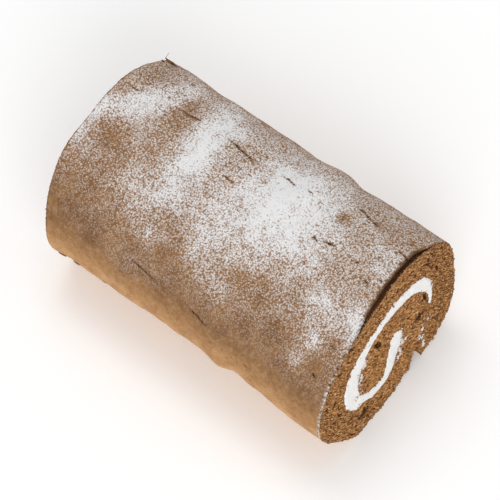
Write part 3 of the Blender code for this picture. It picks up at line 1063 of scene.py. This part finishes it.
def make_cream(form, finish):
    """The spiral of cream in its bed."""
    body = CutBody(form, seed=12)
    band = evenly(form.section("cream"), CREAM_STEP, closed=True)
    band = (np.roll(band, 1, 0) + 2 * band + np.roll(band, -1, 0)) / 4
    around = (np.roll(band, -1, 0) - np.roll(band, 1, 0))[:, ::-1] * (1.0, -1.0)
    around /= np.hypot(*around.T)[:, None]
    travelled = np.arange(len(band)) * CREAM_STEP
    edges = {}
    for side in (-1, 1):
        strays = CREAM_SPREAD + straying(travelled, *CREAM_RAGGED, 21.0 + side)
        edges[side] = band + around * (strays - squeezed(band, form))[:, None]
    sunk, dragged = cream_sunk(form), smear_on(form, DRAGGED)
    far, far_x = body.cut_end(-1, edges[-1], CREAM_GRAIN_FAR, sunk, CREAM_LOOSE_FAR)
    near, near_x = body.cut_end(1, edges[1], CREAM_GRAIN_NEAR, sunk, CREAM_LOOSE_NEAR, dragged)
    swollen = band + around * CREAM_SWELL
    rings = [body.add(np.column_stack([x, swollen])) for x in wall_stations(near_x, far_x)]
    body.wall([near] + rings + [far])
    return body.piece("cream_swirl", finish)


# ---------------------------------------------------------------------------------------------------------
# Colours, as they look on a screen

DARK_CRUST, CRUST = (120, 84, 54), (150, 112, 75)
DUSTED_CRUST = (142, 101, 61)  # between the grains of sugar
SCORCHED, WORN = (122, 86, 56), (190, 160, 132)  # mottling of the crust
CRUST_PORE = (108, 74, 46)
# The low sides: partly the crust's own paler colour, partly painted bounce light from the floor
PALE_AND_BOUNCE_LIT_CRUST = (208, 160, 110)  # low on the sides, where no sugar fell
PALE_DARK, PALE_LIGHT = (156, 112, 72), (230, 190, 148)
PALE_DARK_FLECK, PALE_LIGHT_FLECK = (160, 116, 76), (226, 186, 144)
# Painted bounce light from the floor, lightest at the very bottom of the roll
BOUNCE_LIT_CRUST = (232, 190, 146)  # lowest of all
# Painted shade in the cracks, which are too shallow to shade themselves
CRACK_SHADE = (50, 32, 20)
THIN_SUGAR, THICK_SUGAR = (212, 203, 196), (231, 231, 232)
GRAIN_SUGAR = ((236, 235, 234), (246, 245, 244))

CRUMB, PALE_CRUMB, DULL_CRUMB = (156, 108, 64), (180, 128, 79), (152, 104, 61)
# Darker towards the outside of the roll and towards +Y
DARKENED_CRUMB = (112, 72, 42)
# The crumb's streaked grain, painted with highlight on its raised lumps and shade in its hollows
STREAK_HIGHLIGHT, STREAK_SHADE = (222, 170, 112), (58, 32, 16)
# Painted shade in the pores and pits, deeper ones darker
PORE_SHADE = (56, 33, 18)
LEDGE_CRUMB = (84, 56, 36)
SMEARED_CREAM = (232, 229, 224)

CREAM, SHADED_CREAM, STAINED_CREAM = (240, 239, 237), (228, 227, 225), (205, 188, 168)
DRAGGED_CRUMB = (172, 124, 80)
BITS = ((124, 86, 54), (184, 140, 96))
TORN = ((70, 44, 26), (138, 96, 60))
FLOOR_WHITE = (254, 254, 254)


# ---------------------------------------------------------------------------------------------------------
# Node trees, for the finishes and the scattered grains


class Wire:
    """One output in a node tree. Arithmetic on it adds a Math node for each operation."""

    def __init__(self, graph, socket):
        self.graph, self.socket = graph, socket

    def math(self, operation, *values):
        return self.graph.add("ShaderNodeMath", dict(enumerate(values)), operation=operation)

    def __add__(self, other):
        return self.math("ADD", self, other)

    def __sub__(self, other):
        return self.math("SUBTRACT", self, other)

    def __mul__(self, other):
        return self.math("MULTIPLY", self, other)

    def __rsub__(self, other):
        return self.math("SUBTRACT", other, self)

    def __pow__(self, other):
        return self.math("POWER", self, other)

    __radd__ = __add__
    __rmul__ = __mul__

    def at_least(self, other):
        return self.math("MAXIMUM", self, other)

    def rising(self, low, high):
        """0 below low and 1 above high, with a smooth rise between."""
        inputs = {"Value": self, "From Min": low, "From Max": high}
        return self.graph.add("ShaderNodeMapRange", inputs, interpolation_type="SMOOTHSTEP")


class Graph:
    """A node tree that is being built."""

    def __init__(self, tree):
        self.tree = tree

    def plug(self, socket, value):
        if isinstance(value, Wire):
            self.tree.links.new(value.socket, socket)
        else:
            socket.default_value = value

    def add(self, kind, inputs=None, output=0, **settings):
        """Adds a node, sets it, wires its inputs, and returns one of its outputs."""
        node = self.tree.nodes.new(kind)
        for key, value in settings.items():
            setattr(node, key, value)
        for key, value in (inputs or {}).items():
            self.plug(node.inputs[key], value)
        return Wire(self, node.outputs[output])

    def attribute(self, name):
        """A value that the mesh holds at each of its points."""
        return self.add("ShaderNodeAttribute", output="Fac", attribute_name=name)

    def place(self):
        """Where each point of the surface is, which is the same on every piece."""
        return self.add("ShaderNodeTexCoord", output="Object")

    def noise(self, size, detail=2.0, roughness=0.5, at=None):
        """Smooth noise from 0 to 1 with lumps of this size in millimetres."""
        inputs = {"Vector": at or self.place(), "Scale": 1.0 / (size * MM), "Detail": detail}
        return self.add("ShaderNodeTexNoise", inputs | {"Roughness": roughness})

    def grain(self, size, long, lean):
        """Noise over a cut end, drawn out this many times in a direction that leans by so many degrees."""
        turned = (math.radians(lean), 0.0, 0.0)
        inputs = {"Vector": self.place(), "Rotation": turned, "Scale": (1.0, long, 1.0)}
        drawn_out = self.add("ShaderNodeMapping", inputs, vector_type="TEXTURE")
        return self.noise(size, 2.0, 0.6, drawn_out)

    def from_axis(self):
        """How far each place is from the roll's axis, and how far across from it, in millimetres."""
        inputs = {0: self.place(), 1: (0.0, 0.0, AXIS_HEIGHT * MM)}
        place = self.add("ShaderNodeVectorMath", inputs, operation="SUBTRACT")
        square = self.add("ShaderNodeVectorMath", {0: place, 1: (0.0, 1.0, 1.0)}, operation="MULTIPLY")
        distance = self.add("ShaderNodeVectorMath", {0: square}, output="Value", operation="LENGTH")
        across = self.add("ShaderNodeSeparateXYZ", {"Vector": place}, output="Y")
        return distance * (1.0 / MM), across * (1.0 / MM)

    def cells(self, size):
        """How far each place is from the nearest of many points, about this many millimetres apart."""
        return self.add("ShaderNodeTexVoronoi", {"Vector": self.place(), "Scale": 1.0 / (size * MM)})

    def mix(self, share, colour, other):
        """The first colour where share is 0 and the other where it is 1."""
        first, second = (c if isinstance(c, Wire) else linear(c) for c in (colour, other))
        inputs = {0: share, 6: first, 7: second}
        return self.add("ShaderNodeMix", inputs, output=2, data_type="RGBA", clamp_factor=True)

    def coated(self, colour, *coats):
        """The colour under coats that are laid over it in turn, each (share, colour)."""
        for share, coat in coats:
            colour = self.mix(share, colour, coat)
        return colour


def linear(colour):
    """A colour given as it looks on a screen, from 0 to 255, as the renderer counts light."""
    shares = [channel / 255.0 for channel in colour]
    light = [s / 12.92 if s <= 0.04045 else ((s + 0.055) / 1.055) ** 2.4 for s in shares]
    return (*light, 1.0)


def make_finish(name, paint, **constants):
    """A material whose paint function returns the inputs of its shader that vary over the surface."""
    finish = bpy.data.materials.new(name)
    finish.use_nodes = True
    graph = Graph(finish.node_tree)
    shader = finish.node_tree.nodes["Principled BSDF"]
    for key, value in constants.items():
        shader.inputs[key.replace("_", " ")].default_value = value
    for key, value in paint(graph).items():
        graph.plug(shader.inputs[key], value)
    return finish


def roughened(graph, height, strength, distance):
    """A surface with this relief, whose full height is this many millimetres."""
    inputs = {"Height": height, "Strength": strength, "Distance": distance * MM}
    return graph.add("ShaderNodeBump", inputs)


def paint_crust(graph, turn, sugar, mottled, fine, grains):
    """The baked crust under the sugar, paler low on the sides from its colour and painted bounce light."""
    patches = graph.noise(9.0, 3.0)
    # The low sides, where painted bounce light lies over the crust's own paler colour
    pale_and_lit = turn.rising(164.0, 190.0).at_least(turn.rising(22.0, -14.0))
    return graph.coated(
        DARK_CRUST,
        (patches.rising(0.3, 0.7), CRUST),
        (pale_and_lit, PALE_AND_BOUNCE_LIT_CRUST),
        (patches.rising(0.4, 0.62) * pale_and_lit * 0.65, PALE_DARK),
        (patches.rising(0.42, 0.3) * pale_and_lit * 0.35, PALE_LIGHT),
        (fine.rising(0.44, 0.62) * pale_and_lit * 0.4, PALE_DARK_FLECK),
        (fine.rising(0.4, 0.28) * pale_and_lit * 0.4, PALE_LIGHT_FLECK),
        # Painted bounce light, brightest at the very bottom
        (turn.rising(182.0, 200.0) * 0.4, BOUNCE_LIT_CRUST),
        (mottled.rising(0.48, 0.7) * (0.55 - pale_and_lit * 0.4), SCORCHED),
        (mottled.rising(0.5, 0.34) * (0.3 - pale_and_lit * 0.1), WORN),
        (grains.rising(0.0, -0.5) * 0.3, CRUST_PORE),
        (sugar.rising(0.0, 0.35) * 0.75, DUSTED_CRUST),
    )


def paint_skin(graph):
    """The crust, speckled white where sugar lies thinly and covered where it lies thickly."""
    sugar, crack, turn = graph.attribute("sugar"), graph.attribute("crack"), graph.attribute("turn")
    mottled = graph.noise(2.2, 4.0, 0.6)
    fine = graph.noise(0.5, 1.0)
    grains = (0.56 - graph.cells(0.8)) * 1.3 + (fine - 0.5) * 1.6
    contrast = 0.5 + 0.5 * sugar.rising(0.08, 0.4).at_least(turn.rising(165.0, 132.0))
    missed = sugar.rising(0.34, 0.0) * turn.rising(168.0, 148.0) * 0.08
    speckles = (grains * contrast + sugar**1.15 - missed).rising(-0.12, 1.1) * sugar.rising(0.0, 0.1)
    white = graph.mix(sugar.rising(0.1, 0.6), THIN_SUGAR, THICK_SUGAR)
    crust = paint_crust(graph, turn, sugar, mottled, fine, grains)
    return {
        # The cracks, the sunk lip and the torn rim get painted shade
        "Base Color": graph.coated(crust, (speckles, white), (crack.rising(0.0, 0.45), CRACK_SHADE)),
        "Roughness": 0.62 + 0.3 * sugar.rising(0.0, 0.3),
        "Normal": roughened(graph, fine * 0.5 + mottled * 0.6, 0.35, 0.25),
    }


def paint_crumb(graph):
    """The cut sponge: streaked along the layers in painted highlight and shade, with painted shade in its
    pores, darker outside, smeared with cream.
    """
    pore, rim, smear = graph.attribute("pore"), graph.attribute("rim"), graph.attribute("smear")
    distance, across = graph.from_axis()
    streaks = graph.grain(0.55, 4.0, STREAK_LEAN)
    fine = graph.noise(0.5, 1.0)
    clumps = graph.noise(2.6, 2.0)
    broad = graph.noise(11.0, 2.0)
    lumps = streaks * 0.7 + fine * 0.3
    smeared = smear * 1.5 + (streaks - 0.5) * 2.6 + (fine - 0.5) * 1.2
    colour = graph.coated(
        CRUMB,
        (clumps.rising(0.3, 0.7), PALE_CRUMB),
        (broad.rising(0.35, 0.7) * 0.4, DULL_CRUMB),
        # Darker towards the outside of the roll and towards +Y
        (distance.rising(14.0, 34.0) * 0.3 + across.rising(18.0, 44.0) * 0.3, DARKENED_CRUMB),
        # Painted highlight on the grain's raised lumps and painted shade in its hollows, the same lumps as
        # in the bump
        (lumps.rising(0.51, 0.62) * 0.85, STREAK_HIGHLIGHT),
        (lumps.rising(0.49, 0.39) * 0.95, STREAK_SHADE),
        # Painted shade in the pores and pits, darker where they are deeper
        (pore.rising(0.25, 1.1) * 0.85, PORE_SHADE),
        (rim, LEDGE_CRUMB),
        (smeared.rising(0.55, 0.85) * 0.9, SMEARED_CREAM),
    )
    return {"Base Color": colour, "Normal": roughened(graph, lumps, 0.6, 0.5)}


def paint_cream(graph):
    """The cream, a little stained, with sponge dragged over it."""
    soft = graph.noise(2.4, 3.0, 0.55)
    specks = graph.grain(0.6, 3.0, STREAK_LEAN)
    stain = graph.noise(5.0, 3.0, 0.6)
    dragged = graph.attribute("smear") * 0.8 + (specks - 0.5) * 3.0
    colour = graph.coated(
        CREAM,
        (soft.rising(0.35, 0.7) * 0.5, SHADED_CREAM),
        (stain.rising(0.62, 0.8) * 0.25, STAINED_CREAM),
        (dragged.rising(0.6, 0.95) * 0.9, DRAGGED_CRUMB),
    )
    return {"Base Color": colour, "Normal": roughened(graph, soft, 0.25, 0.3)}


def paint_bits(graph):
    tone = graph.noise(1.5, 2.0, 0.6)
    return {"Base Color": graph.mix(tone.rising(0.3, 0.7), *BITS)}


def paint_torn(graph):
    tone = graph.noise(1.2, 2.0, 0.6)
    return {"Base Color": graph.mix(tone.rising(0.35, 0.65), *TORN)}


def paint_sugar(graph):
    tone = graph.noise(3.0, 1.0)
    return {"Base Color": graph.mix(tone, *GRAIN_SUGAR)}


# ---------------------------------------------------------------------------------------------------------
# Scattered grains

FULL_TURN = (6.28, 6.28, 6.28)
LUMPS_PER_METRE = 1900.0  # in the roughening of a grain


def scatter_tree(name, grain, finish):
    """A node group that scatters grains over a surface, most where the surface's named value is high."""
    tree = bpy.data.node_groups.new(name, "GeometryNodeTree")
    tree.is_modifier = True
    tree.interface.new_socket("Surface", in_out="INPUT", socket_type="NodeSocketGeometry")
    for label, kind in (
        ("Most per square metre", "NodeSocketFloat"),
        ("Smallest", "NodeSocketFloat"),
        ("Largest", "NodeSocketFloat"),
        ("Roughening", "NodeSocketFloat"),
        ("Where", "NodeSocketString"),
        ("Seed", "NodeSocketInt"),
    ):
        tree.interface.new_socket(label, in_out="INPUT", socket_type=kind)
    tree.interface.new_socket("Grains", in_out="OUTPUT", socket_type="NodeSocketGeometry")
    graph = Graph(tree)
    group_input = tree.nodes.new("NodeGroupInput")
    given = {socket.name: Wire(graph, socket) for socket in group_input.outputs}
    amount = graph.add("GeometryNodeInputNamedAttribute", {"Name": given["Where"]}, data_type="FLOAT")
    density = amount * amount * given["Most per square metre"]
    points = graph.add(
        "GeometryNodeDistributePointsOnFaces",
        {"Mesh": given["Surface"], "Density": density, "Seed": given["Seed"]},
        distribute_method="RANDOM",
    )
    turned = {0: (0.0, 0.0, 0.0), 1: FULL_TURN, "Seed": given["Seed"]}
    rotation = graph.add("FunctionNodeRandomValue", turned, data_type="FLOAT_VECTOR")
    sized = {2: given["Smallest"], 3: given["Largest"], "Seed": given["Seed"]}
    size = graph.add("FunctionNodeRandomValue", sized, output=1, data_type="FLOAT")
    inputs = {"Points": points, "Instance": grain(graph), "Rotation": rotation, "Scale": size}
    grains = graph.add("GeometryNodeInstanceOnPoints", inputs)
    grains = graph.add("GeometryNodeRealizeInstances", {"Geometry": grains})
    inputs = {"Vector": graph.add("GeometryNodeInputPosition"), "Scale": LUMPS_PER_METRE, "Detail": 1.0}
    lumps = graph.add("ShaderNodeTexNoise", inputs, output=1)
    centred = graph.add("ShaderNodeVectorMath", {0: lumps, 1: (0.5, 0.5, 0.5)}, operation="SUBTRACT")
    inputs = {0: centred, "Scale": given["Roughening"]}
    offset = graph.add("ShaderNodeVectorMath", inputs, operation="SCALE")
    grains = graph.add("GeometryNodeSetPosition", {"Geometry": grains, "Offset": offset})
    grains = graph.add("GeometryNodeSetMaterial", {"Geometry": grains, "Material": finish})
    graph.plug(tree.nodes.new("NodeGroupOutput").inputs[0], grains)
    return tree


def sugar_grain(graph):
    return graph.add("GeometryNodeMeshUVSphere", {"Segments": 4, "Rings": 2, "Radius": 0.5})


def crumb_grain(graph):
    return graph.add("GeometryNodeMeshIcoSphere", {"Radius": 0.5, "Subdivisions": 2})


def scatter(name, surface, tree, seed, where, per_mm2, sizes, roughening):
    """Runs the node group over a copy of the surface and keeps the grains as a mesh of their own."""
    carrier = surface.copy()
    bpy.context.scene.collection.objects.link(carrier)
    modifier = carrier.modifiers.new("scatter", "NODES")
    modifier.node_group = tree
    wanted = {
        "Most per square metre": per_mm2 / MM**2,
        "Smallest": sizes[0] * MM,
        "Largest": sizes[1] * MM,
        "Roughening": roughening * MM,
        "Where": where,
        "Seed": seed,
    }
    for item in tree.interface.items_tree:
        if item.name in wanted:
            modifier[item.identifier] = wanted[item.name]
    graph = bpy.context.evaluated_depsgraph_get()
    mesh = bpy.data.meshes.new_from_object(carrier.evaluated_get(graph))
    mesh.name = name
    bpy.data.objects.remove(carrier)
    return placed(name, mesh)


# ---------------------------------------------------------------------------------------------------------
# The studio

AZIMUTH, ELEVATION = 38.93, 58.0  # of the camera about the roll, in degrees from -Y towards +X, and up
TARGET = (1.97, -0.455, 34.5)
CAMERA_DISTANCE = 1800.0
LENS, SENSOR = 321.5, 36.0
FARTHEST_SEEN = 20.0  # metres

# Lamps, in metres and watts: (name, place, size, power).
LAMPS = (
    ("key", (-0.5, 0.35, 1.4), 0.9, 6.0),
    ("fill", (1.1, -1.2, 1.0), 1.2, 16.0),
)
SKY_STRENGTH = 0.55
FLOOR_HALF = 3.0
FLOOR_GLOW = 0.07


def make_floor():
    white = linear(FLOOR_WHITE)
    lit = {"Emission_Color": white, "Emission_Strength": FLOOR_GLOW}
    finish = make_finish("floor", lambda graph: {}, Base_Color=white, Roughness=0.9, **lit)
    mesh = bpy.data.meshes.new("floor")
    corners = ((-1, -1), (1, -1), (1, 1), (-1, 1))
    mesh.from_pydata([(x * FLOOR_HALF, y * FLOOR_HALF, 0.0) for x, y in corners], [], [(0, 1, 2, 3)])
    mesh.materials.append(finish)
    return placed("floor", mesh)


def make_lamp(name, place, size, power):
    """A square lamp that faces the roll."""
    lamp = bpy.data.lights.new(name, "AREA")
    lamp.size, lamp.energy = size, power
    holder = placed(name, lamp)
    holder.location = place
    holder.rotation_mode = "QUATERNION"
    holder.rotation_quaternion = (-Vector(place)).to_track_quat("-Z", "Y")


def make_camera():
    azimuth, elevation = math.radians(AZIMUTH), math.radians(ELEVATION)
    level = math.cos(elevation)
    back = Vector((math.sin(azimuth) * level, -math.cos(azimuth) * level, math.sin(elevation)))
    camera = bpy.data.cameras.new("camera")
    camera.lens, camera.sensor_width = LENS, SENSOR
    camera.clip_end = FARTHEST_SEEN
    holder = placed("camera", camera)
    holder.location = (Vector(TARGET) + back * CAMERA_DISTANCE) * MM
    holder.rotation_mode = "QUATERNION"
    holder.rotation_quaternion = (-back).to_track_quat("-Z", "Y")
    bpy.context.scene.camera = holder


def light_studio():
    world = bpy.data.worlds.new("studio")
    world.use_nodes = True
    sky = world.node_tree.nodes["Background"].inputs
    sky["Color"].default_value = (1.0, 1.0, 1.0, 1.0)
    sky["Strength"].default_value = SKY_STRENGTH
    bpy.context.scene.world = world
    for lamp in LAMPS:
        make_lamp(*lamp)
    bpy.context.scene.view_settings.view_transform = "Standard"


# ---------------------------------------------------------------------------------------------------------
# The whole

DULL = {"Roughness": 0.9, "Specular_IOR_Level": 0.05}

roll = RollForm()
skin = make_skin(roll, make_finish("crust", paint_skin, Specular_IOR_Level=0.05))
crumb = make_crumb(roll, make_finish("crumb", paint_crumb, **DULL))
cream = make_cream(roll, make_finish("cream", paint_cream, Roughness=0.7, Specular_IOR_Level=0.3))
slivers = make_slivers(roll, make_finish("torn crust", paint_torn, **DULL))

sugar_finish = make_finish("sugar", paint_sugar, Roughness=0.85)
bits_finish = make_finish("bits", paint_bits, Roughness=0.9, Specular_IOR_Level=0.1)
sugar_tree = scatter_tree("sugar grains", sugar_grain, sugar_finish)
bits_tree = scatter_tree("crumb bits", crumb_grain, bits_finish)
sugar_dust = scatter("sugar_dust", skin, sugar_tree, 1, "sugar", 2.2, (0.16, 0.3), 0.04)
sugar_clumps = scatter("sugar_clumps", skin, sugar_tree, 2, "sugar", 0.12, (0.32, 0.52), 0.08)
sponge_bits = scatter("sponge_bits", crumb, bits_tree, 3, "loose", 0.8, (0.3, 0.95), 0.4)
torn_bits = scatter("torn_bits", crumb, bits_tree, 5, "loose", 0.035, (1.1, 2.0), 1.0)
cream_bits = scatter("cream_bits", cream, bits_tree, 4, "loose", 0.5, (0.25, 0.6), 0.25)

on_sponge = (skin, crumb, slivers, sugar_dust, sugar_clumps, sponge_bits, torn_bits)
on_cream = (cream, cream_bits)
for piece in on_sponge + on_cream:
    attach(piece, "root")
for piece in (skin, crumb):
    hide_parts("sponge")
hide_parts("cream")

make_floor()
light_studio()
make_camera()
